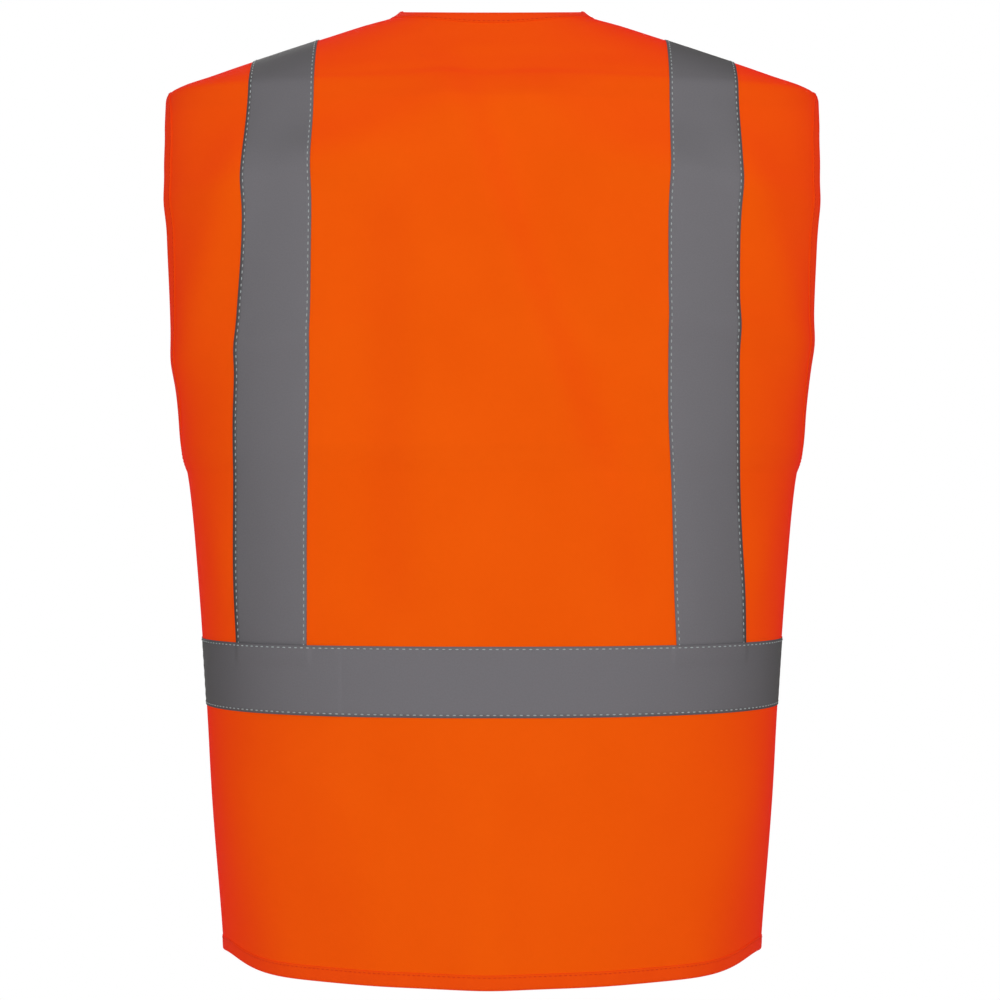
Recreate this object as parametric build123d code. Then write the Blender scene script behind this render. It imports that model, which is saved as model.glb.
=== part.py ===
"""High-visibility work vest with a bound edge, two brace tapes and a waist tape.

Frame: origin at the centre of the neck opening, at the height of the points where the neck
meets the shoulder seams. +Z is up, the fronts face -Y and the wearer's left is +X.
Millimetres. Every layer of the vest follows one body form, at its own distance outside it.
"""
from build123d import *
import math
import os
from functools import lru_cache
from typing import NamedTuple


class Station(NamedTuple):
    """One level section of the body form: a superellipse with its own back and front."""
    z: float
    half_width: float
    back: float
    front: float
    power: float


# The inside of the cloth, from above the neck down to below the hem.
STATIONS = [
    Station(20, 58, 36, 36, 2.2),
    Station(0, 75, 48, 48, 2.2),
    Station(-60, 249, 85, 88, 2.2),
    Station(-120, 256, 107, 115, 2.4),
    Station(-336, 233, 128, 128.4, 2.4),
    Station(-740, 204, 139, 136.5, 2.2),
]
OUTLINE_POINTS = 20
RISE = 0.7                      # how far a layer's sections rise for each mm that it stands out

# Layers, as distances outside the body form: inner face, outer face.
CLOTH = (0.0, 1.0)
BRACE_LAYER = (1.1, 1.8)
WAIST_LAYER = (1.1, 2.6)        # thick enough to pass over the ends of the brace tapes
FLAP_WAIST_LAYER = (1.1, 1.8)
BINDING_LAYER = (-0.6, 1.6)      # a folded binding, drawn solid with the cloth's edge in it
HOOK_LAYER = (-1.8, -0.2)
LOOP_LAYER = (1.1, 2.0)
LABEL_LAYER = (-0.8, -0.1)

HEM_Z = -706.0
SEAM_GAP = 0.1                  # between the back panel and the fronts
NECK_HALF_WIDTH = 72.0
NECK_BACK_DEPTH = 50.0
V_DEPTH = -212.0                # where the two front neck edges cross
FRONT_OVERLAP = 28.0            # how far each front reaches past the middle

ARM_CENTRE_Z = -198.0
ARM_HALF_HEIGHT = 138.0
ARM_HALF_WIDTH = 45.0
ARM_INSIDE_X = 190.0            # the armhole is cut from here outwards
ARM_CUT_ROOM = 5.0              # the opening's cut starts this far inside the binding's
SHOULDER_END_X = 239.0          # the armhole binding stops here on the shoulder
SHOULDER_END_Z = -100.0

BINDING_WIDTH = 10.0
NECK_BAND_SIDE = 10.5           # the neck binding seen from above, at the shoulder seams
NECK_BAND_BACK = 6.0            # and at the middle of the back
NECK_CUT_DEPTH = 80.0           # how far down the neck opening is cut
NECK_EDGE_REACH = 130.0         # the front neck edges lie inside this X
TAPE_WIDTH = 50.0
BRACE_X = 155.0
WAIST_TOP = -468.0
BRACE_UNDERLAP = 12.0           # how far a brace tape runs under the waist tape
TAPE_GAP = 0.3
POCKET_GAP = 0.1                # between a brace tape's end and the waist tape over it

FOLD_X = 95.0                   # the upright fold line of each front
FOLD_AXIS_Y = -125.5
FOLD_GAP = 0.8
FOLD_TOP = -170.0
TUCK_ANGLE = 3.2                # the right front turns in by this much, to lie under the left

FRONT_CUT_Y = -50.0             # cuts in the fronts reach back to this Y

PATCH_WIDTH = 25.0
PATCH_HEIGHT = 50.0
PATCH_LEVELS = (-345.0, -440.0, -545.0, -650.0)
LABEL_WIDTH = 44.0
LABEL_TOP = -26.0
LABEL_HEIGHT = 28.0

FAR = 400.0
TOP = 30.0
BOTTOM = -735.0


def block(x: tuple, y: tuple, z: tuple) -> Part:
    """A box between two limits on each axis."""
    sizes = [high - low for low, high in (x, y, z)]
    centre = [(low + high) / 2 for low, high in (x, y, z)]
    return Pos(*centre) * Box(*sizes)


def outline(station: Station, stand_off: float) -> Wire:
    """A level section of the form, moved outwards by stand_off."""
    points = []
    for i in range(OUTLINE_POINTS):
        angle = math.pi / 2 + 2 * math.pi * i / OUTLINE_POINTS
        across, along = math.cos(angle), math.sin(angle)
        depth = station.back if along > 0 else station.front
        x = math.copysign(abs(across) ** (2 / station.power), across)
        y = math.copysign(abs(along) ** (2 / station.power), along)
        points.append((x * (station.half_width + stand_off), y * (depth + stand_off),
                       station.z + RISE * stand_off))
    return Wire(Spline(*points, periodic=True).edge())


@lru_cache(maxsize=None)
def form(stand_off: float) -> Solid:
    """The body form, grown outwards by stand_off."""
    return Solid.make_loft([outline(s, stand_off) for s in reversed(STATIONS)], ruled=True)


def layer(faces: tuple, region: Part) -> Part:
    """The part of a layer, between its inner and outer faces, that lies in a region."""
    return (form(faces[1]) & region) - form(faces[0])


def arm_prism(grow: float, inside_x: float, side: int) -> Part:
    """The oval of an armhole, grown by some mm and carried outwards along X."""
    oval = Ellipse(ARM_HALF_HEIGHT + grow, ARM_HALF_WIDTH + grow)
    prism = Pos(inside_x, 0, ARM_CENTRE_Z) * Rot(0, 90, 0) * extrude(oval, FAR - inside_x)
    return prism if side > 0 else mirror(prism, Plane.YZ)


def back_neck_prism(grow_side: float, grow_back: float) -> Part:
    """The back half of the neck opening seen from above, grown and carried up along Z."""
    reach, depth = NECK_HALF_WIDTH + grow_side, NECK_BACK_DEPTH + grow_back
    edge = [ThreePointArc((reach, 0), (0, depth), (-reach, 0)), Line((-reach, 0), (reach, 0))]
    return Pos(0, 0, -NECK_CUT_DEPTH) * extrude(make_face(edge), NECK_CUT_DEPTH + TOP)


def left_front_shape() -> Sketch:
    """The left front seen from the front: neck edge, front edge, hem and an open outer side."""
    slope = NECK_HALF_WIDTH / -V_DEPTH
    overlap_z = V_DEPTH - FRONT_OVERLAP / slope
    high_x = NECK_HALF_WIDTH + slope * TOP
    corners = [(high_x, TOP), (-FRONT_OVERLAP, overlap_z), (-FRONT_OVERLAP, HEM_Z),
               (FAR, HEM_Z), (FAR, TOP)]
    return make_face(Polyline(*corners, close=True))


def front_prism(grow: float) -> Part:
    """The left front's shape, grown by some mm and carried along Y through the front."""
    shape = left_front_shape()
    if grow:
        shape = offset(shape, grow, kind=Kind.INTERSECTION)
    return extrude(Plane.XZ * shape, FAR)


FRONT_SPACE = block((-FAR, FAR), (-FAR, -SEAM_GAP), (BOTTOM, TOP))
BACK_SPACE = block((-FAR, FAR), (0, FAR), (BOTTOM, TOP))
FLAP_SPACE = block((-FAR, FOLD_X - FOLD_GAP), (-FAR, FRONT_CUT_Y), (BOTTOM, FOLD_TOP - FOLD_GAP))
FLAP_CUT = block((-FAR, FOLD_X + FOLD_GAP), (-FAR, FRONT_CUT_Y), (BOTTOM, FOLD_TOP + FOLD_GAP))


def mirrored(piece: Part) -> Part:
    """The same piece on the wearer's right."""
    return mirror(piece, Plane.YZ)


def tucked(piece: Part) -> Part:
    """A piece of the left front, mirrored to the right front and turned in under the left."""
    fold = Axis((-FOLD_X, FOLD_AXIS_Y, 0), (0, 0, 1))
    return mirrored(piece).rotate(fold, TUCK_ANGLE)


def arm_cutter(side: int) -> Part:
    """What the cloth leaves out at an armhole: the opening and the binding round it."""
    room = block((SHOULDER_END_X, FAR), (-FAR, FAR), (SHOULDER_END_Z, 0))
    room += block((ARM_INSIDE_X, FAR), (-FAR, FAR), (-FAR, SHOULDER_END_Z))
    band = arm_prism(BINDING_WIDTH, ARM_INSIDE_X, 1) & room
    return band if side > 0 else mirror(band, Plane.YZ)


def panels() -> dict:
    """The cloth: one back panel, and each front as a side and a flap that meet at the fold."""
    cloth = layer(CLOTH, block((-FAR, FAR), (-FAR, FAR), (HEM_Z + BINDING_WIDTH, TOP)))
    for side in (1, -1):
        cloth -= arm_cutter(side)
    back = (cloth & BACK_SPACE) - back_neck_prism(NECK_BAND_SIDE, NECK_BAND_BACK)
    front = cloth & FRONT_SPACE & front_prism(-BINDING_WIDTH)
    side_piece = front - FLAP_CUT
    flap = front & FLAP_SPACE
    return {
        "back_panel": back,
        "left_front_side": side_piece,
        "right_front_side": mirrored(side_piece),
        "left_front_flap": flap,
        "right_front_flap": tucked(flap),
    }


def armhole_binding() -> Part:
    """The binding round the left armhole."""
    return layer(BINDING_LAYER, arm_cutter(1) - arm_prism(0, ARM_INSIDE_X - ARM_CUT_ROOM, 1))


def neck_binding() -> Part:
    """The binding round the back neck and down both neck edges to the top of the flaps."""
    band = back_neck_prism(NECK_BAND_SIDE, NECK_BAND_BACK) - back_neck_prism(0, 0)
    back = layer(BINDING_LAYER, band)
    upper = block((0, NECK_EDGE_REACH), (-FAR, 0), (FOLD_TOP + FOLD_GAP, TOP))
    front = layer(BINDING_LAYER, (front_prism(0) & upper) - front_prism(-BINDING_WIDTH))
    return back + front + mirrored(front)


def hem_binding() -> Part:
    """The hem binding of the back and of the two front sides."""
    band = block((-FAR, FAR), (-FAR, FAR), (HEM_Z, HEM_Z + BINDING_WIDTH))
    band -= block((-FOLD_X - FOLD_GAP, FOLD_X + FOLD_GAP), (-FAR, 0), (BOTTOM, TOP))
    return layer(BINDING_LAYER, band)


def front_binding() -> Part:
    """One binding down the left flap's neck edge and front edge, and along its hem."""
    return layer(BINDING_LAYER, (front_prism(0) & FLAP_SPACE) - front_prism(-BINDING_WIDTH))


def brace_tape() -> Part:
    """The left brace tape, from under the back waist tape over the shoulder to the front."""
    sides = (BRACE_X - TAPE_WIDTH / 2, BRACE_X + TAPE_WIDTH / 2)
    return layer(BRACE_LAYER, block(sides, (-FAR, FAR), (WAIST_TOP - BRACE_UNDERLAP, TOP)))


def waist_tapes() -> dict:
    """The waist tape's pieces, with pockets where the brace tapes run under them."""
    low, high = WAIST_TOP - TAPE_WIDTH, WAIST_TOP
    ring = layer(WAIST_LAYER, block((-FAR, FAR), (-FAR, FAR), (low, high)))
    inner, outer = BRACE_X - TAPE_WIDTH / 2 - TAPE_GAP, BRACE_X + TAPE_WIDTH / 2 + TAPE_GAP
    pocket_bottom = WAIST_TOP - BRACE_UNDERLAP - TAPE_GAP
    under = form(BRACE_LAYER[1] + POCKET_GAP)
    for span in ((inner, outer), (-outer, -inner)):
        ring -= under & block(span, (-FAR, FAR), (pocket_bottom, TOP))
    side = ring & block((FOLD_X + FOLD_GAP, FAR), (-FAR, -SEAM_GAP), (low, high))
    flap_span = (BINDING_WIDTH - FRONT_OVERLAP + TAPE_GAP, FOLD_X - FOLD_GAP)
    flap = layer(FLAP_WAIST_LAYER, block(flap_span, (-FAR, FRONT_CUT_Y), (low, high)))
    return {
        "back_waist_tape": ring & BACK_SPACE,
        "left_side_waist_tape": side,
        "right_side_waist_tape": mirrored(side),
        "left_front_waist_tape": flap,
        "right_front_waist_tape": tucked(flap),
    }


def closure_patches() -> dict:
    """Pairs of patches: hooks behind the left front's edge, loops on the right front's face."""
    pieces = {}
    for number, level in enumerate(PATCH_LEVELS, start=1):
        place = block((-PATCH_WIDTH / 2, PATCH_WIDTH / 2), (-FAR, FRONT_CUT_Y),
                      (level - PATCH_HEIGHT / 2, level + PATCH_HEIGHT / 2))
        pieces[f"hook_patch_{number}"] = layer(HOOK_LAYER, place)
        pieces[f"loop_patch_{number}"] = tucked(layer(LOOP_LAYER, place))
    return pieces


def neck_label() -> Part:
    """A blank label sewn flat inside the back, under the neck binding."""
    place = block((-LABEL_WIDTH / 2, LABEL_WIDTH / 2), (0, FAR),
                  (LABEL_TOP - LABEL_HEIGHT, LABEL_TOP))
    return layer(LABEL_LAYER, place)


def build() -> dict:
    """Every node of the vest by name."""
    arm = armhole_binding()
    edge = front_binding()
    brace = brace_tape()
    nodes = panels()
    nodes.update({
        "neck_binding": neck_binding(),
        "hem_binding": hem_binding(),
        "left_armhole_binding": arm,
        "right_armhole_binding": mirrored(arm),
        "left_front_binding": edge,
        "right_front_binding": tucked(edge),
        "left_brace_tape": brace,
        "right_brace_tape": mirrored(brace),
    })
    nodes.update(waist_tapes())
    nodes.update(closure_patches())
    nodes["neck_label"] = neck_label()
    return nodes


os.makedirs("parts", exist_ok=True)
for name, piece in build().items():
    export_step(piece, f"parts/{name}.step")
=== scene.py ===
import logging
import math
from dataclasses import dataclass, replace
from enum import Enum
from typing import Callable

import bmesh
import bpy
import numpy as np
from mathutils import Matrix, Vector


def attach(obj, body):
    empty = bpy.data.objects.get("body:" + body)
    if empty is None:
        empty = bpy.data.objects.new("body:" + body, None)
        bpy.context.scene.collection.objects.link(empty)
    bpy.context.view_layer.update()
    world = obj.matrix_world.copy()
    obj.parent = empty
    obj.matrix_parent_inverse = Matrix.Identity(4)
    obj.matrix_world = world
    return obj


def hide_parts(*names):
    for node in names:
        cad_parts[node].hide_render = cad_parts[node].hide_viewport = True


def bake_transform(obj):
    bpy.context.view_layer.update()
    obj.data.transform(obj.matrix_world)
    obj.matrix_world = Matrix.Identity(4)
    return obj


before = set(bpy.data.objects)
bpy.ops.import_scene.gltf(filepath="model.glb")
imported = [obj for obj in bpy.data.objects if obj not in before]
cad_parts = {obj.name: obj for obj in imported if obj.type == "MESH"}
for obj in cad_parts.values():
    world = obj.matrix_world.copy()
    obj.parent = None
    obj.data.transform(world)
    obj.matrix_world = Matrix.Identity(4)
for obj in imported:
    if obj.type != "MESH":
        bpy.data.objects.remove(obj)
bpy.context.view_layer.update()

LOG = logging.getLogger("vest")
MM = 0.001
Locator = Callable[[np.ndarray, np.ndarray, np.ndarray], np.ndarray]


class Side(Enum):
    """The wearer's left or right, as the sign of X."""
    LEFT = 1
    RIGHT = -1


# ---------------------------------------------------------------- finishes

def node_group_weave() -> bpy.types.NodeTree:
    """A crossed pattern of threads with a slow mottling, both over the piece's UV map in metres.

    Returns:
        The group, with inputs Vector, Across and Along (threads per metre) and Mottle (per metre),
        and outputs Height and Shade.
    """
    found = bpy.data.node_groups.get("crossed_threads")
    if found:
        return found
    group = bpy.data.node_groups.new("crossed_threads", "ShaderNodeTree")
    group.interface.new_socket("Vector", in_out="INPUT", socket_type="NodeSocketVector")
    for name, value in (("Across", 1000.0), ("Along", 1000.0), ("Mottle", 40.0)):
        socket = group.interface.new_socket(name, in_out="INPUT", socket_type="NodeSocketFloat")
        socket.default_value = value
    for name in ("Height", "Shade"):
        group.interface.new_socket(name, in_out="OUTPUT", socket_type="NodeSocketFloat")
    nodes, links = group.nodes, group.links

    def maths(operation: str) -> bpy.types.Node:
        """A new node that does one operation."""
        node = nodes.new("ShaderNodeMath")
        node.operation = operation
        return node

    source, sink = nodes.new("NodeGroupInput"), nodes.new("NodeGroupOutput")
    split = nodes.new("ShaderNodeSeparateXYZ")
    links.new(source.outputs["Vector"], split.inputs[0])
    waves = []
    for axis, pitch in ((0, "Across"), (1, "Along")):
        turn = maths("MULTIPLY")
        links.new(split.outputs[axis], turn.inputs[0])
        links.new(source.outputs[pitch], turn.inputs[1])
        full = maths("MULTIPLY")
        full.inputs[1].default_value = 2 * math.pi
        links.new(turn.outputs[0], full.inputs[0])
        wave = maths("SINE")
        links.new(full.outputs[0], wave.inputs[0])
        waves.append(wave)
    crossed = maths("MULTIPLY_ADD")
    links.new(waves[0].outputs[0], crossed.inputs[0])
    links.new(waves[1].outputs[0], crossed.inputs[1])
    crossed.inputs[2].default_value = 0.5
    links.new(crossed.outputs[0], sink.inputs["Height"])
    cloud = nodes.new("ShaderNodeTexNoise")
    cloud.inputs["Detail"].default_value = 4.0
    links.new(source.outputs["Vector"], cloud.inputs["Vector"])
    links.new(source.outputs["Mottle"], cloud.inputs["Scale"])
    links.new(cloud.outputs["Fac"], sink.inputs["Shade"])
    return group


@dataclass(frozen=True)
class Finish:
    """A fabric finish: threads, mottling, two shades and the painted rim shading that it takes at a glance
    (painted shade, and a painted sheen on the loop pile).

    Colours are linear RGB. Threads are per metre of cloth.
    """
    name: str
    dark: tuple
    light: tuple
    # painted rim shading: the painted shade the colour turns to where the surface faces away from the
    # camera; on the loop pile it is a painted sheen
    painted_rim_shading: tuple
    across: float
    along: float
    mottle: float
    relief: float
    roughness: float
    sheen: float = 0.0
    specular: float = 0.4
    # painted glow: the finish gives off its own colour, painted rim shading included, though it is no lamp
    painted_glow: float = 0.0

    def material(self) -> bpy.types.Material:
        """The finish as a material, made once."""
        found = bpy.data.materials.get(self.name)
        if found:
            return found
        made = bpy.data.materials.new(self.name)
        made.use_nodes = True
        nodes, links = made.node_tree.nodes, made.node_tree.links
        shader = nodes["Principled BSDF"]
        shader.inputs["Roughness"].default_value = self.roughness
        shader.inputs["Sheen Weight"].default_value = self.sheen
        shader.inputs["Specular IOR Level"].default_value = self.specular
        where = nodes.new("ShaderNodeUVMap")
        where.uv_map = "cloth"
        weave = nodes.new("ShaderNodeGroup")
        weave.node_tree = node_group_weave()
        weave.inputs["Across"].default_value = self.across
        weave.inputs["Along"].default_value = self.along
        weave.inputs["Mottle"].default_value = self.mottle
        links.new(where.outputs["UV"], weave.inputs["Vector"])
        shade = nodes.new("ShaderNodeMix")
        shade.data_type = "RGBA"
        shade.inputs["A"].default_value = (*self.dark, 1)
        shade.inputs["B"].default_value = (*self.light, 1)
        links.new(weave.outputs["Shade"], shade.inputs["Factor"])
        # Facing mask of the painted rim shading: it paints shade where the surface turns away from the
        # camera (a painted sheen on the loop pile)
        edge = nodes.new("ShaderNodeLayerWeight")
        edge.inputs["Blend"].default_value = 0.40
        painted_rim_shading = nodes.new("ShaderNodeMix")
        painted_rim_shading.data_type = "RGBA"
        painted_rim_shading.inputs["B"].default_value = (*self.painted_rim_shading, 1)
        links.new(edge.outputs["Facing"], painted_rim_shading.inputs["Factor"])
        links.new(shade.outputs["Result"], painted_rim_shading.inputs["A"])
        links.new(painted_rim_shading.outputs["Result"], shader.inputs["Base Color"])
        # Painted glow: the surface emits its own colour, so its red holds steady against the lamps'
        # shading.
        if self.painted_glow:
            links.new(painted_rim_shading.outputs["Result"], shader.inputs["Emission Color"])
            shader.inputs["Emission Strength"].default_value = self.painted_glow
        bump = nodes.new("ShaderNodeBump")
        bump.inputs["Strength"].default_value = 0.35
        bump.inputs["Distance"].default_value = self.relief
        links.new(weave.outputs["Height"], bump.inputs["Height"])
        links.new(bump.outputs["Normal"], shader.inputs["Normal"])
        return made


# The third colour of each finish is its painted rim shading: painted shade, and on the loop pile a painted
# sheen.
CLOTH = Finish("orange_knit", (0.80, 0.086, 0.001), (0.86, 0.104, 0.002), (0.84, 0.002, 0.003),
               900, 1100, 14, 0.00012, 0.85, sheen=0.02, specular=0.04, painted_glow=0.33)
BINDING = Finish("orange_braid", (0.79, 0.066, 0.002), (0.85, 0.082, 0.003), (0.80, 0.006, 0.004),
                 1500, 1500, 60, 0.0001, 0.8, sheen=0.02, specular=0.05, painted_glow=0.32)
TAPE = Finish("grey_bead_tape", (0.212, 0.204, 0.221), (0.256, 0.247, 0.268),
              (0.060, 0.057, 0.054), 2600, 2600, 900, 0.00003, 0.55, specular=0.15)
TAPE_THREAD = Finish("pale_thread", (0.50, 0.58, 0.58), (0.66, 0.74, 0.74), (0.5, 0.55, 0.55),
                     3000, 3000, 400, 0.00002, 0.5)
CLOTH_THREAD = Finish("orange_thread", (0.60, 0.030, 0.004), (0.74, 0.05, 0.006),
                      (0.6, 0.01, 0.004), 3000, 3000, 400, 0.00002, 0.6, specular=0.1, painted_glow=0.15)
HOOKS = Finish("hook_pile", (0.55, 0.045, 0.006), (0.75, 0.07, 0.008), (0.5, 0.03, 0.005),
               650, 650, 300, 0.0004, 0.45, painted_glow=0.1)
LOOPS = Finish("loop_pile", (0.70, 0.05, 0.005), (0.82, 0.08, 0.008), (0.85, 0.12, 0.03),
               400, 420, 700, 0.0005, 0.95, sheen=0.3, specular=0.1, painted_glow=0.2)
LABEL = Finish("satin_label", (0.70, 0.70, 0.68), (0.78, 0.78, 0.76), (0.6, 0.6, 0.6),
               2200, 2200, 80, 0.00004, 0.4)


# ---------------------------------------------------------------- the body form

def smooth(t: np.ndarray) -> np.ndarray:
    """A value that rises smoothly from 0 to 1 as t does."""
    t = np.clip(t, 0, 1)
    return t * t * (3 - 2 * t)


class SmoothTable:
    """Values that run smoothly through given heights and never swing past them."""

    def __init__(self, rows: list) -> None:
        """Takes rows of a height and its values, in any order."""
        table = np.array(sorted(rows), float)
        self.heights, self.values = table[:, 0], table[:, 1:]
        chord = np.diff(self.values, axis=0) / np.diff(self.heights)[:, None]
        self.slopes = np.zeros_like(self.values)
        self.slopes[0], self.slopes[-1] = chord[0], chord[-1]
        same = chord[1:] * chord[:-1] > 0
        mean = 2 * chord[1:] * chord[:-1] / np.where(same, chord[1:] + chord[:-1], 1)
        self.slopes[1:-1] = np.where(same, mean, 0)

    def at(self, z: np.ndarray) -> tuple:
        """Each value at the given heights."""
        z = np.clip(z, self.heights[0], self.heights[-1])
        i = np.clip(np.searchsorted(self.heights, z) - 1, 0, len(self.heights) - 2)
        span = self.heights[i + 1] - self.heights[i]
        t = ((z - self.heights[i]) / span)[..., None]
        span = span[..., None]
        value = ((2 * t ** 3 - 3 * t ** 2 + 1) * self.values[i]
                 + (t ** 3 - 2 * t ** 2 + t) * span * self.slopes[i]
                 + (3 * t ** 2 - 2 * t ** 3) * self.values[i + 1]
                 + (t ** 3 - t ** 2) * span * self.slopes[i + 1])
        return tuple(np.moveaxis(value, -1, 0))


@dataclass(frozen=True)
class Level:
    """One level section of the body form."""
    z: float
    half_width: float
    back: float
    front: float
    power: float


@dataclass(frozen=True)
class Fold:
    """A soft fold in the cloth, upright or leaning, on the back or on the fronts."""
    x: float
    lean: float
    half_width: float
    top: float
    bottom: float
    rise: float
    back: bool = True


@dataclass
class BodyForm:
    """The inside of the cloth: superellipse sections joined smoothly from neck to hem."""
    levels: tuple = (
        Level(0.020, 0.062, 0.036, 0.036, 2.2), Level(0.008, 0.0672, 0.044, 0.044, 2.2),
        Level(0.0025, 0.0712, 0.047, 0.047, 2.2), Level(-0.0028, 0.0795, 0.050, 0.0505, 2.2),
        Level(-0.0095, 0.1035, 0.054, 0.055, 2.2), Level(-0.0175, 0.1285, 0.059, 0.060, 2.2),
        Level(-0.0253, 0.1530, 0.064, 0.065, 2.2), Level(-0.033, 0.1760, 0.069, 0.070, 2.2),
        Level(-0.0406, 0.1985, 0.0735, 0.075, 2.2), Level(-0.048, 0.2195, 0.078, 0.080, 2.2),
        Level(-0.0545, 0.2385, 0.0815, 0.084, 2.2), Level(-0.059, 0.2455, 0.0845, 0.0875, 2.22),
        Level(-0.070, 0.2478, 0.089, 0.0935, 2.25), Level(-0.090, 0.2505, 0.0965, 0.102, 2.3),
        Level(-0.120, 0.2515, 0.107, 0.115, 2.4), Level(-0.170, 0.2503, 0.117, 0.1235, 2.4),
        Level(-0.240, 0.2442, 0.124, 0.1275, 2.4), Level(-0.300, 0.2368, 0.1265, 0.1282, 2.4),
        Level(-0.332, 0.2330, 0.128, 0.1284, 2.4), Level(-0.348, 0.2290, 0.1283, 0.1285, 2.4),
        Level(-0.420, 0.2218, 0.130, 0.129, 2.4), Level(-0.500, 0.2162, 0.1315, 0.1305, 2.35),
        Level(-0.600, 0.2105, 0.136, 0.1325, 2.2), Level(-0.706, 0.2030, 0.143, 0.1365, 1.92),
        Level(-0.745, 0.2010, 0.145, 0.1375, 1.9))
    folds: tuple = (
        Fold(0.092, 0.03, 0.024, -0.12, -0.48, -0.0042), Fold(0.047, 0.02, 0.022, -0.10, -0.47, 0.0032),
        Fold(-0.042, 0.35, 0.026, -0.03, -0.37, -0.0054), Fold(-0.010, 0.35, 0.020, -0.02, -0.34, 0.0038),
        Fold(-0.100, 0.12, 0.024, -0.20, -0.48, -0.0038), Fold(0.070, -2.75, 0.070, -0.03, -0.17, 0.0046),
        Fold(-0.080, 2.20, 0.070, -0.03, -0.18, 0.0040), Fold(0.205, -0.34, 0.020, -0.06, -0.31, 0.0034),
        Fold(-0.205, 0.34, 0.020, -0.06, -0.31, 0.0034), Fold(-0.215, 5.0, 0.080, -0.20, -0.29, 0.0034),
        Fold(-0.215, 6.0, 0.090, -0.10, -0.18, 0.0030), Fold(0.215, -5.0, 0.080, -0.21, -0.31, 0.0030),
        Fold(0.215, -6.0, 0.090, -0.10, -0.18, 0.0026), Fold(0.196, 0.08, 0.014, -0.35, -0.47, 0.0022),
        Fold(-0.196, -0.08, 0.014, -0.35, -0.47, 0.0022), Fold(0.166, 0.27, 0.028, -0.53, -0.76, 0.0040),
        Fold(-0.166, -0.29, 0.028, -0.53, -0.76, 0.0040), Fold(0.055, 0.10, 0.030, -0.52, -0.76, -0.0022),
        Fold(-0.045, -0.12, 0.030, -0.52, -0.76, -0.0022), Fold(0.003, 0.02, 0.022, -0.53, -0.76, 0.0026),
        Fold(0.110, 0.10, 0.022, -0.18, -0.47, 0.0030, False),
        Fold(-0.12, -0.1, 0.022, -0.18, -0.47, 0.003, False),
        Fold(0.160, 0.12, 0.024, -0.53, -0.76, 0.0040, False),
        Fold(-0.16, -0.12, 0.024, -0.53, -0.76, 0.004, False))
    neck_half_width: float = 0.072
    v_depth: float = -0.212
    overlap: float = 0.028
    neck_point: float = 0.0066
    hem: float = -0.706
    arm_centre: float = -0.198
    arm_half_height: float = 0.138
    arm_half_width: float = 0.045
    side_lift: float = 0.0050
    side_lift_from: float = 0.30
    side_lift_spread: float = 0.22
    edge_rounding: float = 0.008
    neck_edge_share: float = 0.99
    neck_point_slope: float = 0.40

    def __post_init__(self) -> None:
        """Prepares the sizes between the levels."""
        self.sizes = SmoothTable([(level.z, level.half_width, level.back, level.front, level.power)
                                  for level in self.levels])

    def seen_from(self, side: Side) -> "BodyForm":
        """The form for pieces that are made on the left and then mirrored to a side."""
        if side is Side.LEFT:
            return self
        return replace(self, folds=tuple(replace(f, x=-f.x, lean=-f.lean) for f in self.folds))

    def size_at(self, z: np.ndarray) -> tuple:
        """Half width, back depth, front depth and power at each height."""
        return self.sizes.at(np.asarray(z, float))

    def bare(self, angle: np.ndarray, z: np.ndarray) -> np.ndarray:
        """Points on the form with no folds. Angle 0 is the left side seam and a quarter turn the back."""
        width, back, front, power = self.size_at(z)
        c, s = np.cos(angle), np.sin(angle)
        x = width * np.sign(c) * np.abs(c) ** (2 / power)
        y = np.where(s >= 0, back, front) * np.sign(s) * np.abs(s) ** (2 / power)
        return np.stack([x, y, z], axis=-1)

    def drape(self, place: np.ndarray, angle: np.ndarray) -> np.ndarray:
        """How far the folds lift the cloth at each point."""
        lift = np.zeros(place.shape[:-1])
        x, z = place[..., 0], place[..., 2]
        for fold in self.folds:
            middle = (fold.top + fold.bottom) / 2
            off = (x - fold.x - fold.lean * (z - middle)) / fold.half_width
            ends = smooth((fold.top - z) / 0.06) * smooth((z - fold.bottom) / 0.06)
            facing = smooth(np.sin(angle) * (1 if fold.back else -1) / 0.5)
            lift += fold.rise * np.exp(-off ** 2) * ends * facing
        return lift

    def points(self, angle: np.ndarray, z: np.ndarray, out: np.ndarray) -> np.ndarray:
        """Points that stand out from the form, along its normal.

        Args:
            angle: angle round the form at each point.
            z: height of each point.
            out: distance outside the form.

        Returns:
            The points, with the folds in them.
        """
        angle, z, out = np.broadcast_arrays(*(np.asarray(v, float) for v in (angle, z, out)))
        tiny = 1e-3
        base = self.bare(angle, z)
        round_it = self.bare(angle + tiny, z) - self.bare(angle - tiny, z)
        up_it = self.bare(angle, z + tiny) - self.bare(angle, z - tiny)
        normal = np.cross(round_it, up_it)
        normal /= np.linalg.norm(normal, axis=-1, keepdims=True)
        return base + normal * (out + self.drape(base, angle))[..., None]

    def angle_for_x(self, x: np.ndarray, z: np.ndarray, back: bool) -> np.ndarray:
        """The angle at which the form has a given x, on its back or its front."""
        width, _, _, power = self.size_at(np.asarray(z, float))
        share = np.clip(np.abs(x) / width, 0, 1) ** (power / 2) * np.sign(x)
        return np.arccos(share) * (1 if back else -1)

    def angle_for_y(self, y: np.ndarray, z: np.ndarray) -> np.ndarray:
        """The angle at which the left side of the form has a given y."""
        _, back, front, power = self.size_at(np.asarray(z, float))
        depth = np.where(y >= 0, back, front)
        return np.arcsin(np.clip(np.abs(y) / depth, 0, 1) ** (power / 2)) * np.sign(y)

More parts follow.
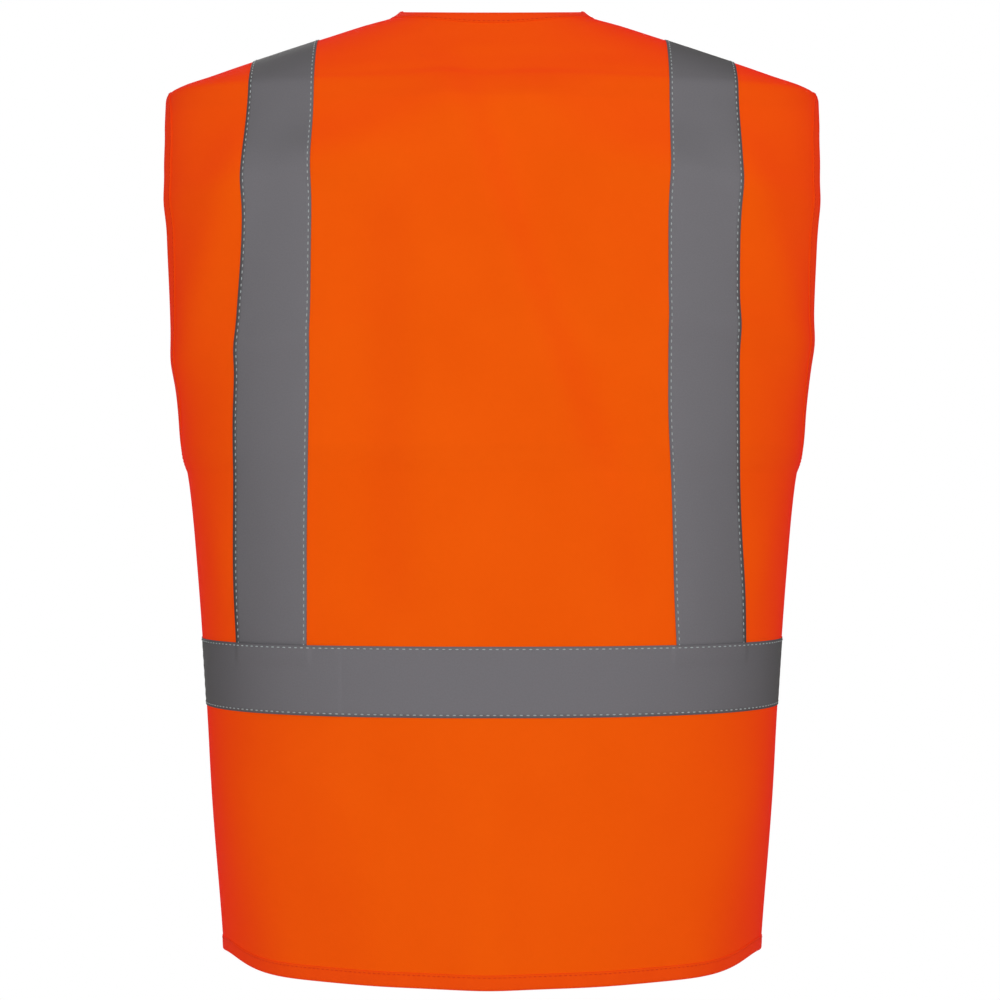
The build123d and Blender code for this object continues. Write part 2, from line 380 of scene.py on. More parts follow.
    def arm_edge(self, z: np.ndarray) -> np.ndarray:
        """Half the armhole's width at each height, and 0 above and below it."""
        rise = (z - self.arm_centre) / self.arm_half_height
        return self.arm_half_width * np.sqrt(np.clip(1 - rise ** 2, 0, 1))

    def hem_lift(self, angle: np.ndarray) -> np.ndarray:
        """How much the back's hem rises beside each side seam."""
        from_seam = np.minimum(np.abs(angle), np.abs(math.pi - angle))
        off = (from_seam - self.side_lift_from) / self.side_lift_spread
        return self.side_lift * np.exp(-off ** 2)

    def front_edge(self, z: np.ndarray) -> np.ndarray:
        """The x of the left front's neck edge and front edge at each height."""
        neck_line = self.neck_half_width * (z - self.v_depth) / -self.v_depth
        straight = neck_line * self.neck_edge_share + self.overlap
        rounded = (straight + np.sqrt(straight ** 2 + self.edge_rounding ** 2)) / 2 - self.overlap
        top_width = self.size_at(np.array(self.neck_point))[0]
        return np.minimum(rounded, top_width + (self.neck_point - z) * self.neck_point_slope)


# ---------------------------------------------------------------- mesh tools

def linked_object(name: str, bm: bmesh.types.BMesh) -> bpy.types.Object:
    """Turns a mesh that has been put together into an object of the scene."""
    mesh = bpy.data.meshes.new(name)
    bm.to_mesh(mesh)
    bm.free()
    piece = bpy.data.objects.new(name, mesh)
    bpy.context.collection.objects.link(piece)
    return piece


def grid_mesh(name: str, places: np.ndarray, thickness: float = 0.0, wrap_across: bool = False,
              wrap_along: bool = False) -> bpy.types.Object:
    """A sheet, tube or ring from rows of points, with its UV map in metres of cloth.

    Args:
        name: the piece's name.
        places: rows by columns by three.
        thickness: how far the sheet is thickened inwards.
        wrap_across: joins the last column to the first.
        wrap_along: joins the last row to the first.

    Returns:
        The new object, smooth shaded.
    """
    rows, columns = places.shape[0] - 1, places.shape[1] - 1
    width = np.linalg.norm(np.diff(places, axis=1), axis=2).sum(axis=1).mean()
    length = np.linalg.norm(np.diff(places, axis=0), axis=2).sum(axis=0).mean()
    bm = bmesh.new()
    layer = bm.loops.layers.uv.new("cloth")
    bmesh.ops.create_grid(bm, x_segments=columns, y_segments=rows, size=1.0)
    for face in bm.faces:
        face.smooth = True
        for loop in face.loops:
            loop[layer].uv = ((loop.vert.co.x + 1) / 2 * width, (loop.vert.co.y + 1) / 2 * length)
    for vert in bm.verts:
        i = round((vert.co.y + 1) / 2 * rows)
        j = round((vert.co.x + 1) / 2 * columns)
        vert.co = Vector(places[i, j])
    if wrap_across or wrap_along:
        bmesh.ops.remove_doubles(bm, verts=bm.verts, dist=1e-6)
        if not (wrap_across and wrap_along):
            bmesh.ops.holes_fill(bm, edges=[e for e in bm.edges if e.is_boundary], sides=0)
        bmesh.ops.recalc_face_normals(bm, faces=bm.faces)
    if thickness:
        thicken(bm, thickness)
    return linked_object(name, bm)


def thicken(bm: bmesh.types.BMesh, thickness: float) -> None:
    """Gives an open sheet a back face and closed, flat-shaded edges, inwards from where it is."""
    bm.normal_update()
    outer = list(bm.verts)
    inside = [v.co - v.normal * thickness for v in outer]
    made = bmesh.ops.extrude_face_region(bm, geom=bm.faces[:], use_keep_orig=True)
    raised = {g for g in made["geom"] if isinstance(g, bmesh.types.BMVert)}
    for vert, place in zip(outer, inside):
        vert.co = place
    bmesh.ops.recalc_face_normals(bm, faces=bm.faces)
    for face in bm.faces:
        face.smooth = len({v in raised for v in face.verts}) == 1


def finish_piece(piece: bpy.types.Object, finish: Finish) -> bpy.types.Object:
    """Gives a piece its finish and logs its number of faces."""
    piece.data.materials.append(finish.material())
    LOG.info("%s: %d faces", piece.name, len(piece.data.polygons))
    return piece


def mirrored(places: np.ndarray, side: Side) -> np.ndarray:
    """Rows of points for the left, or their mirror image with its columns turned to face outwards."""
    if side is Side.LEFT:
        return places
    flipped = places[:, ::-1].copy()
    flipped[..., 0] *= -1
    return flipped


TUCK_FROM_X = -0.095        # the right front's fold
TUCK_ROUNDING = 0.012
TUCK_SLOPE = 0.0559         # the tangent of the angle that it turns in by
TUCK_TOP = -0.03            # it starts below this height and is full this much lower
TUCK_DROP = 0.13


def tuck(places: np.ndarray, side: Side) -> np.ndarray:
    """The right front lies inside the left one, so its points turn in past its fold."""
    if side is Side.LEFT:
        return places
    moved = places.copy()
    reach = moved[..., 0] - TUCK_FROM_X
    reach = (reach + np.sqrt(reach ** 2 + TUCK_ROUNDING ** 2)) / 2
    moved[..., 1] += reach * TUCK_SLOPE * smooth((TUCK_TOP - moved[..., 2]) / TUCK_DROP)
    return moved


def even_angles(form: BodyForm, start: float, end: float, height: Callable, count: int) -> np.ndarray:
    """Angles that divide a row into equal lengths of cloth.

    Args:
        form: the body form.
        start: the row's first angle.
        end: the row's last angle.
        height: gives the row's height at each angle.
        count: the number of divisions.

    Returns:
        The angles, one more than count.
    """
    trial = np.linspace(start, end, 240)
    line = form.bare(trial, height(trial))
    length = np.concatenate([[0], np.cumsum(np.linalg.norm(np.diff(line, axis=0), axis=1))])
    if length[-1] < 1e-6:
        return np.linspace(start, end, count + 1)
    return np.interp(np.linspace(0, length[-1], count + 1), length, trial)


def row_heights(bottom: float, top: float) -> np.ndarray:
    """Heights of a panel's rows, closest together at the shoulders and at the armhole's ends."""
    bands = ((-0.706, -0.345, 0.008), (-0.345, -0.325, 0.002), (-0.325, -0.076, 0.006),
             (-0.076, -0.052, 0.0016), (-0.052, 0.006, 0.002))
    heights = []
    for low, high, step in bands:
        low, high = max(low, bottom), min(high, top)
        if high > low:
            heights.extend(np.linspace(low, high, max(2, math.ceil((high - low) / step) + 1))[:-1])
    return np.array(heights + [top])


# ---------------------------------------------------------------- stitches

@dataclass
class StitchRow:
    """A row of lock stitches along a line on the cloth."""
    length: float = 0.0024
    pitch: float = 0.0036
    width: float = 0.0006
    height: float = 0.00045

    def build(self, name: str, lines: list, finish: Finish, slot: str) -> bpy.types.Object:
        """Lays stitches along lines, each a pair of point rows: on the surface and 1 mm above it.

        Args:
            name: the piece's name.
            lines: pairs of arrays of points, n by three.
            finish: the thread's finish.
            slot: not used.

        Returns:
            The piece with every stitch of these lines.
        """
        bm = bmesh.new()
        bm.loops.layers.uv.new("cloth")
        for line, above in lines:
            gaps = np.linalg.norm(np.diff(line, axis=0), axis=1)
            run = np.concatenate([[0], np.cumsum(gaps)])
            spots = np.arange(self.pitch / 2, run[-1], self.pitch)
            where = [np.interp(spots, run, line[:, k]) for k in range(3)]
            lead = [np.interp(spots + self.pitch / 4, run, line[:, k]) for k in range(3)]
            tail = [np.interp(spots - self.pitch / 4, run, line[:, k]) for k in range(3)]
            lift = [np.interp(spots, run, above[:, k]) for k in range(3)]
            for here, ahead, behind, over in zip(*(np.stack(v, -1) for v in (where, lead, tail, lift))):
                self.stitch(bm, Vector(here), Vector(ahead - behind), Vector(over - here))
        for face in bm.faces:
            face.smooth = True
        return finish_piece(linked_object(name, bm), finish)

    def stitch(self, bm: bmesh.types.BMesh, place: Vector, along: Vector, up: Vector) -> None:
        """Adds one stitch, a flat grain of thread."""
        if along.length < 1e-9 or up.length < 1e-9:
            return
        along.normalize()
        across = up.cross(along).normalized()
        up = along.cross(across)
        turn = Matrix((along, across, up)).transposed().to_4x4()
        size = Matrix.Diagonal((self.length / 2, self.width / 2, self.height / 2, 1))
        matrix = Matrix.Translation(place) @ turn @ size
        bmesh.ops.create_icosphere(bm, subdivisions=1, radius=1.0, matrix=matrix)


TAPE_STITCHES = StitchRow(length=0.0028, pitch=0.0047, width=0.0009, height=0.0006)


# ---------------------------------------------------------------- cloth panels

@dataclass
class BackPanel:
    """The back: hem to neckline, side seam to side seam, with an armhole cut out of each side."""
    form: BodyForm
    outer: float = 0.001
    thickness: float = 0.0007
    columns: int = 130
    neck_centre: float = -0.0060
    neck_rise: float = 0.0128
    rise_from: float = -0.06
    neck_curve: float = 0.909
    hem_reach: float = 0.08

    def height(self, base: float, angle: np.ndarray) -> np.ndarray:
        """A row's height at each angle: level low down, and rising to the sides at the neck."""
        share = smooth(np.asarray((base - self.rise_from) / (self.neck_centre - self.rise_from)))
        low = smooth(np.asarray((self.form.hem + self.hem_reach - base) / self.hem_reach))
        beside_neck = 1 - np.abs(np.sin(angle)) ** self.neck_curve
        return base + self.neck_rise * share * beside_neck + low * self.form.hem_lift(angle)

    def places(self) -> np.ndarray:
        """The panel's rows of points."""
        rows = []
        for base in row_heights(self.form.hem, self.neck_centre):
            z = np.array(base)
            bite = float(self.form.angle_for_y(self.form.arm_edge(z), z))
            angles = even_angles(self.form, bite, math.pi - bite,
                                 lambda a: self.height(base, a), self.columns)
            rows.append(self.form.points(angles, self.height(base, angles), self.outer))
        return np.array(rows)

    def build(self) -> bpy.types.Object:
        """Makes the panel."""
        piece = grid_mesh("back_panel_cloth", self.places(), self.thickness)
        finish_piece(piece, CLOTH)
        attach(piece, "root")
        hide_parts("back_panel")
        return piece


@dataclass
class FrontPanel:
    """One front: hem to shoulder, side seam to neck edge and front edge."""
    form: BodyForm
    side: Side
    outer: float = 0.001
    thickness: float = 0.0007
    columns: int = 84
    fold_from: tuple = (0.120, -0.1155, 0.0)
    fold_to: tuple = (0.078, -0.1315, 0.0)

    def places(self) -> np.ndarray:
        """The panel's rows of points."""
        rows = []
        for base in row_heights(self.form.hem, self.form.neck_point):
            z = np.array(base)
            edge = float(self.form.angle_for_x(self.form.front_edge(z), z, False))
            bite = -float(self.form.angle_for_y(self.form.arm_edge(z), z))
            angles = even_angles(self.form, edge, bite, lambda a: np.full_like(a, base),
                                 self.columns)
            rows.append(self.form.points(angles, np.full_like(angles, base), self.outer))
        return tuck(mirrored(np.array(rows), self.side), self.side)

    def bend(self, piece: bpy.types.Object) -> None:
        """Bakes a piece's placement into its mesh."""
        sign = self.side.value
        start = (self.fold_from[0] * sign, *self.fold_from[1:])
        end = (self.fold_to[0] * sign, *self.fold_to[1:])
        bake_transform(piece)

    def build(self) -> bpy.types.Object:
        """Makes the front."""
        word = self.side.name.lower()
        piece = grid_mesh(f"{word}_front_cloth", self.places(), self.thickness)
        finish_piece(piece, CLOTH)
        self.bend(piece)
        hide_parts(f"{word}_front_side", f"{word}_front_flap")
        return piece


@dataclass
class Seams:
    """The rows of stitches beside the shoulder seams and the side seams."""
    form: BodyForm
    beside: float = 0.004
    out: float = 0.00115

    def line(self, low: float, high: float, out: float, side: Side) -> np.ndarray:
        """A line of points beside the seam, between two heights."""
        z = np.linspace(low, high, 200)
        form = self.form.seen_from(side)
        places = form.points(form.angle_for_y(np.full_like(z, self.beside), z), z, out)
        return mirrored(places[:, None, :], side)[:, 0]

    def build(self) -> bpy.types.Object:
        """Makes the stitches of all four seams."""
        spans = ((-0.055, -0.006), (self.form.hem + 0.012, -0.352))
        lines = [(self.line(low, high, self.out, side), self.line(low, high, self.out + 0.001, side))
                 for side in Side for low, high in spans]
        thread = StitchRow().build("seam_stitches", lines, CLOTH_THREAD, "vest_cloth")
        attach(thread, "root")
        return thread


# ---------------------------------------------------------------- bindings

@dataclass
class Binding:
    """A tape folded over a cut edge and stitched through both of its legs.

    The profile goes round the fold: distance in from the edge and distance out from the form, in mm.
    """
    form: BodyForm
    profile: tuple = (
        (10.0, 1.1), (9.8, 1.45), (8.4, 1.42), (5.0, 1.6), (1.2, 1.62), (0.0, 1.45),
        (-0.7, 0.9), (-0.7, 0.1), (0.0, -0.45), (1.2, -0.6), (5.0, -0.6), (9.8, -0.5),
        (10.0, -0.15), (9.0, -0.02), (0.3, -0.02), (-0.1, 0.5), (0.3, 1.05), (9.0, 1.06))
    stitch_in: float = 0.0084
    stitch_out: float = 0.0015

    def sweep(self, name: str, locate: Locator, steps: np.ndarray, closed: bool,
              side: Side = Side.LEFT, tucked: bool = False) -> bpy.types.Object:
        """Carries the profile along an edge.

        Args:
            name: the piece's name.
            locate: gives points from step, distance in and distance out.
            steps: where along the edge the sections stand.
            closed: the edge is a ring.
            side: mirrors the piece for the right.
            tucked: the piece belongs to a front that may lie inside the other.

        Returns:
            The binding.
        """
        loop = np.array(self.profile + self.profile[:1]) * MM
        rows = np.array([locate(np.full(len(loop), s), loop[:, 0], loop[:, 1]) for s in steps])
        rows = mirrored(rows, side)
        if tucked:
            rows = tuck(rows, side)
        return grid_mesh(name, rows, wrap_across=True, wrap_along=closed)

    def stitch_line(self, locate: Locator, steps: np.ndarray, side: Side = Side.LEFT,
                    tucked: bool = False) -> tuple:
        """The stitch line of a binding, and the same line 1 mm above it."""
        inward = np.array([self.stitch_in])
        pair = []
        for out in (self.stitch_out, self.stitch_out + MM):
            line = np.array([locate(np.array([s]), inward, np.array([out]))[0] for s in steps])
            line = mirrored(line[:, None, :], side)
            pair.append((tuck(line, side) if tucked else line)[:, 0])
        return tuple(pair)


@dataclass
class ArmholeBinding(Binding):
    """The binding round one armhole."""

    def locate(self, turn: np.ndarray, inward: np.ndarray, out: np.ndarray) -> np.ndarray:
        """Points at a turn round the armhole, counted from its top."""
        wrapped = (turn + math.pi) % (2 * math.pi) - math.pi
        slant = 1 - 0.67 * np.exp(-(wrapped / 0.30) ** 2)
        y = (self.form.arm_half_width + inward) * np.sin(turn)
        z = self.form.arm_centre + (self.form.arm_half_height + inward * slant) * np.cos(turn)
        return self.form.points(self.form.angle_for_y(y, z), z, out)

    def build(self, side: Side) -> list:
        """Makes the binding and its stitches."""
        word = side.name.lower()
        steps = np.linspace(0, 2 * math.pi, 181)
        piece = self.sweep(f"{word}_armhole_folded_binding", self.locate, steps, True, side)
        finish_piece(piece, BINDING)
        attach(piece, "root")
        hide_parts(f"{word}_armhole_binding")
        lines = [self.stitch_line(self.locate, np.linspace(0, 2 * math.pi, 361), side)]
        thread = StitchRow().build(f"{word}_armhole_stitches", lines, CLOTH_THREAD, "binding")
        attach(thread, "root")
        return [piece, thread]


@dataclass
class NeckBinding(Binding):
    """The binding of the back neckline, from one shoulder seam to the other."""
    back: BackPanel = None

    def locate(self, angle: np.ndarray, inward: np.ndarray, out: np.ndarray) -> np.ndarray:
        """Points along the neckline by angle."""
        turn = angle[0]
        top = float(self.back.height(self.back.neck_centre, turn))
        drop = np.arange(0, 0.016, 0.0004)
        line = self.form.bare(np.full_like(drop, turn), top - drop)
        run = np.concatenate([[0], np.cumsum(np.linalg.norm(np.diff(line, axis=0), axis=1))])
        z = top - np.where(inward > 0, np.interp(inward, run, drop), inward * 0.7)
        return self.form.points(angle, z, out)

    def build(self) -> list:
        """Makes the binding and its stitches."""
        steps = np.linspace(0.0, math.pi, 121)
        piece = self.sweep("back_neck_folded_binding", self.locate, steps[::-1], False)
        finish_piece(piece, BINDING)
        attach(piece, "root")
        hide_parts("neck_binding")
        lines = [self.stitch_line(self.locate, steps)]
        thread = StitchRow().build("back_neck_stitches", lines, CLOTH_THREAD, "binding")
        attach(thread, "root")
        return [piece, thread]


@dataclass
class HemBinding(Binding):
    """The binding of the back's hem, from one side seam to the other."""

    def locate(self, angle: np.ndarray, inward: np.ndarray, out: np.ndarray) -> np.ndarray:
        """Points along the hem by angle."""
        return self.form.points(angle, self.form.hem + self.form.hem_lift(angle) + inward, out)

    def build(self) -> list:
        """Makes the binding and its stitches."""
        steps = even_angles(self.form, 0.0, math.pi, lambda a: np.full_like(a, self.form.hem), 160)
        piece = self.sweep("back_hem_folded_binding", self.locate, steps, False)
        finish_piece(piece, BINDING)
        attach(piece, "root")
        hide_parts("hem_binding")
        lines = [self.stitch_line(self.locate, steps)]
        thread = StitchRow().build("back_hem_stitches", lines, CLOTH_THREAD, "binding")
        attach(thread, "root")
        return [piece, thread]


@dataclass
class FrontBinding(Binding):
    """One binding down a front's neck edge and front edge, and along its hem to the side seam."""
    corner_room: float = 0.012

    def locate(self, step: np.ndarray, inward: np.ndarray, out: np.ndarray) -> np.ndarray:
        """Points along the edge: a step below 1 is down the edge, 1 the corner, above 1 along the hem."""
        form = self.form
        top, foot = form.neck_point, form.hem + self.corner_room
        down = np.clip(step, 0, 1) / 0.98
        z = top + (foot - top) * down
        z = np.where(step >= 0.99, form.hem + inward, z)
        reach = form.front_edge(z) + inward * 1.05
        edge = form.angle_for_x(np.minimum(reach, form.size_at(z)[0]), z, False)
        first = form.angle_for_x(np.full_like(z, self.corner_room - form.overlap), z, False)
        hem_angle = first * (1 - np.clip(step - 1.02, 0, 1))
        return form.points(np.where(step > 1.01, hem_angle, edge), z, out)

    def steps(self, fine: int) -> np.ndarray:
        """Steps from the shoulder to the side seam, the corner in one step."""
        down = np.linspace(0, 0.98, 110 * fine)
        along_hem = np.linspace(1.02, 2.02, 50 * fine)
        return np.concatenate([down, [1.0], along_hem])

    def build(self, front: FrontPanel) -> list:
        """Makes the binding and its stitches for one front."""
        word = front.side.name.lower()
        piece = self.sweep(f"{word}_front_folded_binding", self.locate, self.steps(1), False,
                           front.side, True)
        finish_piece(piece, BINDING)
        front.bend(piece)
        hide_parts(f"{word}_front_binding")
        lines = [self.stitch_line(self.locate, self.steps(2), front.side, True)]
        thread = StitchRow().build(f"{word}_front_edge_stitches", lines, CLOTH_THREAD, "binding")
        front.bend(thread)
        return [piece, thread]


# ---------------------------------------------------------------- reflective tape

# The height, the inner edge's x and the outer edge's x of each brace tape.
BRACE_EDGES = {
    Side.LEFT: (
        (-0.48, 0.1310, 0.1842), (-0.40, 0.1310, 0.1856), (-0.32, 0.1300, 0.1860),
        (-0.24, 0.1290, 0.1832), (-0.16, 0.1287, 0.1786), (-0.08, 0.1290, 0.1780),
        (-0.02, 0.1300, 0.1788)),
    Side.RIGHT: (
        (-0.48, 0.1312, 0.1838), (-0.43, 0.1299, 0.1816), (-0.36, 0.1279, 0.1782),
        (-0.29, 0.1252, 0.1774), (-0.18, 0.1256, 0.1778), (-0.08, 0.1284, 0.1798),
        (-0.02, 0.1297, 0.1812)),
}


@dataclass
class BraceTape:
    """A reflective tape up the back, over the shoulder and down the front, under the waist tape."""
    form: BodyForm
    side: Side
    edges: tuple
    width: float = 0.05
    out: float = 0.00145
    thickness: float = 0.00035
    foot: float = -0.480
    rows: int = 330
    edge_stitch: float = 0.0019

    def place(self, share: float, out: float, count: int) -> np.ndarray:
        """A line along the tape from its back foot to its front foot.

        Args:
            share: 0 on the inner edge and 1 on the outer edge.
            out: distance outside the form.
            count: the number of divisions.

        Returns:
            The line's points, on the left side.
        """
        table = SmoothTable(list(self.edges))

        def across(z: np.ndarray) -> np.ndarray:
            """The line's x at each height."""
            inner, outer = table.at(np.asarray(z, float))
            return inner + (outer - inner) * share

        low, high = -0.2, 0.0
        for _ in range(40):
            middle = (low + high) / 2
            inside = across(middle) < float(self.form.size_at(np.array(middle))[0])
            low, high = (middle, high) if inside else (low, middle)
        ridge = (low + high) / 2
        fall = np.linspace(0, 1, 500) ** 2
        z = ridge + (self.foot - ridge) * fall
        x = np.minimum(across(z), self.form.size_at(z)[0])
        back, front = (self.form.angle_for_x(x, z, behind) for behind in (True, False))
        angle = np.concatenate([back[::-1], front[1:]])
        height = np.concatenate([z[::-1], z[1:]])
        line = self.form.bare(angle, height)
        run = np.concatenate([[0], np.cumsum(np.linalg.norm(np.diff(line, axis=0), axis=1))])
        middle = run[len(z) - 1]
        spots = np.concatenate([np.linspace(0, middle, count // 2 + 1),
                                np.linspace(middle, run[-1], count // 2 + 1)[1:]])
        angle, height = np.interp(spots, run, angle), np.interp(spots, run, height)
        pucker = 0.00012 * np.sin(spots / 0.011 + share * 4.5) * smooth((abs(share - 0.5) - 0.24) / 0.24)
        return self.form.points(angle, height, out + pucker)

    def build(self) -> list:
        """Makes the tape and its two rows of stitches."""
        word = self.side.name.lower()
        shares = np.linspace(0, 1, 15)
        places = np.stack([self.place(share, self.out, self.rows) for share in shares], axis=1)
        places = mirrored(places[:, ::-1], self.side)
        piece = grid_mesh(f"{word}_brace_reflective", places, self.thickness)
        finish_piece(piece, TAPE)
        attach(piece, "root")
        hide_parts(f"{word}_brace_tape")
        lines = []
        inset = self.edge_stitch / self.width
        for share in (inset, 1 - inset):
            pair = [mirrored(self.place(share, out, 900)[:, None, :], self.side)[:, 0]
                    for out in (self.out + 0.0001, self.out + 0.0011)]
            lines.append(tuple(pair))
        thread = TAPE_STITCHES.build(f"{word}_brace_stitches", lines, TAPE_THREAD,
                                     "reflective_tape")
        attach(thread, "root")
        return [piece, thread]


@dataclass
class WaistTape:
    """The reflective tape round the waist, over the feet of the brace tapes."""
    form: BodyForm
    top: float = -0.468
    width: float = 0.05
    out: float = 0.00148
    thickness: float = 0.00035
    brace_inner: float = 0.130
    brace_outer: float = 0.182
    brace_foot: float = -0.480
    ease: float = 0.003
    brace_lift: float = 0.0006
    join_x: float = 0.106
    edge_stitch: float = 0.0019

    def lift(self, x: np.ndarray, z: np.ndarray) -> np.ndarray:
        """How much higher the tape lies over a brace tape's foot."""
        ease = self.ease
        over = smooth((np.abs(x) - self.brace_inner + ease) / ease)
        over = over * smooth((self.brace_outer + ease - np.abs(x)) / ease)
        return self.brace_lift * over * smooth((z - self.brace_foot + ease) / ease)

    def line(self, angle: np.ndarray, z: float, extra: float = 0.0) -> np.ndarray:
        """A line of points along the tape at one height."""
        flat = self.form.bare(angle, np.full_like(angle, z))
        joined = 0.00045 * smooth((flat[:, 0] - self.join_x) / 0.0014) * (flat[:, 1] > 0)
        joined *= smooth((0.20 - flat[:, 0]) / 0.02)
        pucker = 0.00012 * np.sin(flat[:, 0] / 0.010 + z * 900)
        out = self.out + extra + self.lift(flat[:, 0], np.full_like(angle, z)) + joined + pucker
        return self.form.points(angle, z, out)

    def strip(self, start: float, end: float, columns: int) -> np.ndarray:
        """Rows of points from bottom to top."""
        low = self.top - self.width
        angles = even_angles(self.form, start, end, lambda a: np.full_like(a, low), columns)
        return np.array([self.line(angles, z) for z in np.linspace(low, self.top, 15)])

    def stitch_lines(self, start: float, end: float) -> list:
        """The stitch lines near both edges."""
        lines = []
        for z in (self.top - self.edge_stitch, self.top - self.width + self.edge_stitch):
            angles = even_angles(self.form, start, end, lambda a: np.full_like(a, z), 600)
            lines.append((self.line(angles, z, 0.0001), self.line(angles, z, 0.0011)))
        return lines

    def build_back(self) -> list:
        """Makes the back's length of tape and its stitches."""
        piece = grid_mesh("back_waist_reflective", self.strip(0.0, math.pi, 420), self.thickness)
        finish_piece(piece, TAPE)
        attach(piece, "root")
        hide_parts("back_waist_tape")
        thread = TAPE_STITCHES.build("back_waist_stitches", self.stitch_lines(0.0, math.pi),
                                     TAPE_THREAD, "reflective_tape")
        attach(thread, "root")
        return [piece, thread]

    def build_front(self, front: FrontPanel) -> list:
        """Makes one front's length of tape and its stitches."""
        word = front.side.name.lower()
        z = np.array(self.top - self.width / 2)
        start = float(self.form.angle_for_x(np.array(0.0102 - self.form.overlap), z, False))
        places = tuck(mirrored(self.strip(start, 0.0, 260), front.side), front.side)
        piece = grid_mesh(f"{word}_front_waist_reflective", places, self.thickness)
        finish_piece(piece, TAPE)
        front.bend(piece)
        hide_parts(f"{word}_side_waist_tape", f"{word}_front_waist_tape")
        lines = [tuple(tuck(mirrored(row[:, None, :], front.side), front.side)[:, 0] for row in pair)
                 for pair in self.stitch_lines(start, 0.0)]
        thread = TAPE_STITCHES.build(f"{word}_front_waist_stitches", lines, TAPE_THREAD,
                                     "reflective_tape")
        front.bend(thread)
        return [piece, thread]


# ---------------------------------------------------------------- closure and label

@dataclass
class ClosurePatch:
    """A pair of patches: hooks behind the left front's edge and loops on the right front's face."""
    form: BodyForm
    number: int
    level: float
    width: float = 0.025
    height: float = 0.05

    def places(self, out: float) -> np.ndarray:
        """Rows of points of a patch that stands at one distance from the form."""
        x = np.linspace(-self.width / 2, self.width / 2, 13)
        rows = []
        for z in np.linspace(self.level - self.height / 2, self.level + self.height / 2, 23):
            level = np.full_like(x, z)
            rows.append(self.form.points(self.form.angle_for_x(x, level, False), level, out))
        return np.array(rows)

    def build(self) -> list:
        """Makes both patches."""
        hooks = grid_mesh(f"hook_tab_{self.number}", self.places(-0.0003), 0.0013)
        finish_piece(hooks, HOOKS)
        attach(hooks, "left_front")
        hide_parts(f"hook_patch_{self.number}")
        loops = grid_mesh(f"loop_tab_{self.number}", tuck(self.places(0.0020), Side.RIGHT), 0.0009)
        finish_piece(loops, LOOPS)
        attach(loops, "right_front")
        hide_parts(f"loop_patch_{self.number}")
        return [hooks, loops]


@dataclass
class NeckLabel:
    """A blank satin label sewn flat inside the back, under the neck binding."""
    form: BodyForm
    width: float = 0.044
    top: float = -0.026
    height: float = 0.028

    def build(self) -> bpy.types.Object:
        """Makes the label."""
        x = np.linspace(self.width / 2, -self.width / 2, 23)
        rows = []
        for z in np.linspace(self.top - self.height, self.top, 15):
            level = np.full_like(x, z)
            rows.append(self.form.points(self.form.angle_for_x(x, level, True), level, -0.0003))
        piece = grid_mesh("blank_neck_label", np.array(rows), 0.0004)
        finish_piece(piece, LABEL)
        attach(piece, "root")
        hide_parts("neck_label")
        return piece


# ---------------------------------------------------------------- studio

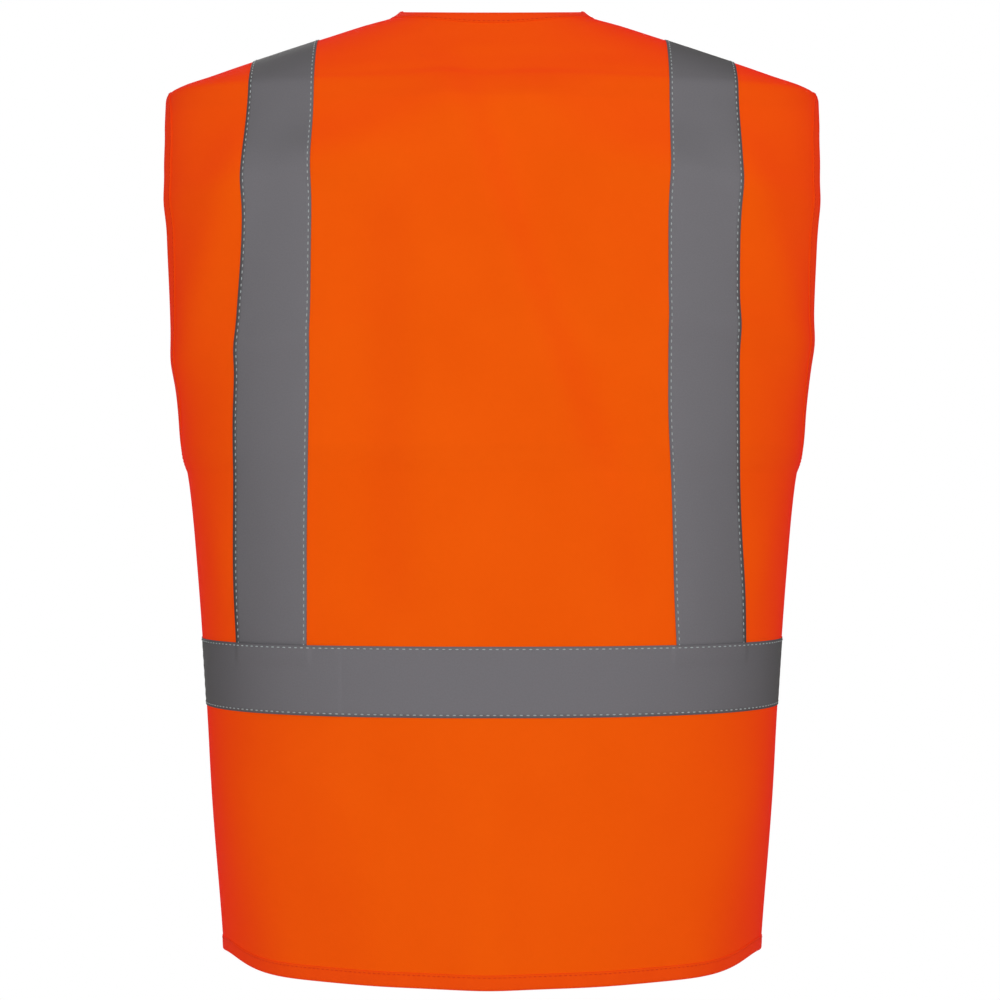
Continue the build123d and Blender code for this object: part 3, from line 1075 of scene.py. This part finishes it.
@dataclass
class Studio:
    """A pale sweep of paper, soft lights and the camera."""
    floor: float = -1.05
    eye: float = -0.365
    distance: float = 1.65
    aside: float = -0.0059
    lens: float = 77.9

    def sweep(self) -> None:
        """Makes the floor and the backdrop as one curved sheet."""
        profile = [(4.0, self.floor), (-1.2, self.floor)]
        profile += [(-1.2 - 1.0 * math.sin(t), self.floor + 1.0 - 1.0 * math.cos(t))
                    for t in np.linspace(0.1, math.pi / 2, 12)]
        profile.append((-2.2, 4.0))
        places = np.array([[(x, y, z) for x in np.linspace(4.5, -4.5, 9)] for y, z in profile])
        paper = grid_mesh("paper_sweep", places)
        made = bpy.data.materials.new("white_paper")
        made.use_nodes = True
        nodes, links = made.node_tree.nodes, made.node_tree.links
        shader = nodes["Principled BSDF"]
        shader.inputs["Base Color"].default_value = (0.85, 0.85, 0.85, 1)
        shader.inputs["Roughness"].default_value = 0.9
        self.show_white(made.node_tree, shader, nodes["Material Output"])
        paper.data.materials.append(made)

    def show_white(self, tree: bpy.types.NodeTree, shader: bpy.types.Node, output: bpy.types.Node) -> None:
        """Shows plain white to the camera, and leaves the light that a shader gives as it is."""
        plain = tree.nodes.new("ShaderNodeEmission")
        path = tree.nodes.new("ShaderNodeLightPath")
        mix = tree.nodes.new("ShaderNodeMixShader")
        tree.links.new(path.outputs["Is Camera Ray"], mix.inputs[0])
        tree.links.new(shader.outputs[0], mix.inputs[1])
        tree.links.new(plain.outputs[0], mix.inputs[2])
        tree.links.new(mix.outputs[0], output.inputs["Surface"])

    def light(self, name: str, place: tuple, size: float, power: float) -> None:
        """Adds a square soft light that faces the vest."""
        lamp = bpy.data.lights.new(name, "AREA")
        lamp.size, lamp.energy = size, power
        holder = bpy.data.objects.new(name, lamp)
        holder.location = place
        aim = Vector((0, 0, -0.35)) - Vector(place)
        holder.rotation_euler = aim.to_track_quat("-Z", "Y").to_euler()
        bpy.context.collection.objects.link(holder)

    def build(self) -> None:
        """Sets the stage."""
        self.sweep()
        self.light("key", (-1.7, 2.4, 1.2), 1.5, 31)
        self.light("fill", (1.8, 2.2, 0.2), 2.0, 17)
        self.light("top", (0.0, 0.4, 1.9), 1.2, 5)
        self.light("front_fill", (0.6, -1.9, 0.6), 1.8, 16)
        world = bpy.data.worlds.new("white_room")
        world.use_nodes = True
        sky = world.node_tree.nodes["Background"]
        sky.inputs["Color"].default_value = (1, 1, 1, 1)
        sky.inputs["Strength"].default_value = 0.23
        self.show_white(world.node_tree, sky, world.node_tree.nodes["World Output"])
        scene = bpy.context.scene
        scene.world = world
        scene.view_settings.view_transform = "Standard"
        camera = bpy.data.cameras.new("camera")
        camera.lens = self.lens
        holder = bpy.data.objects.new("camera", camera)
        holder.location = (self.aside, self.distance, self.eye)
        holder.rotation_euler = (math.pi / 2, 0, math.pi)
        bpy.context.collection.objects.link(holder)
        scene.camera = holder


def main() -> None:
    """Builds the vest and its stage, and reports each piece."""
    logging.basicConfig(level=logging.INFO, format="%(name)s %(message)s")
    Studio().build()
    form = BodyForm()
    back = BackPanel(form)
    back.build()
    Seams(form).build()
    NeckBinding(form, back=back).build()
    HemBinding(form).build()
    WaistTape(form).build_back()
    for side in Side:
        half = form.seen_from(side)
        front = FrontPanel(half, side)
        front.build()
        FrontBinding(half).build(front)
        ArmholeBinding(half).build(side)
        BraceTape(half, side, BRACE_EDGES[side]).build()
        WaistTape(half).build_front(front)
    for number, level in enumerate((-0.345, -0.440, -0.545, -0.650), start=1):
        ClosurePatch(form, number, level).build()
    NeckLabel(form).build()


if __name__ == "__main__":
    main()
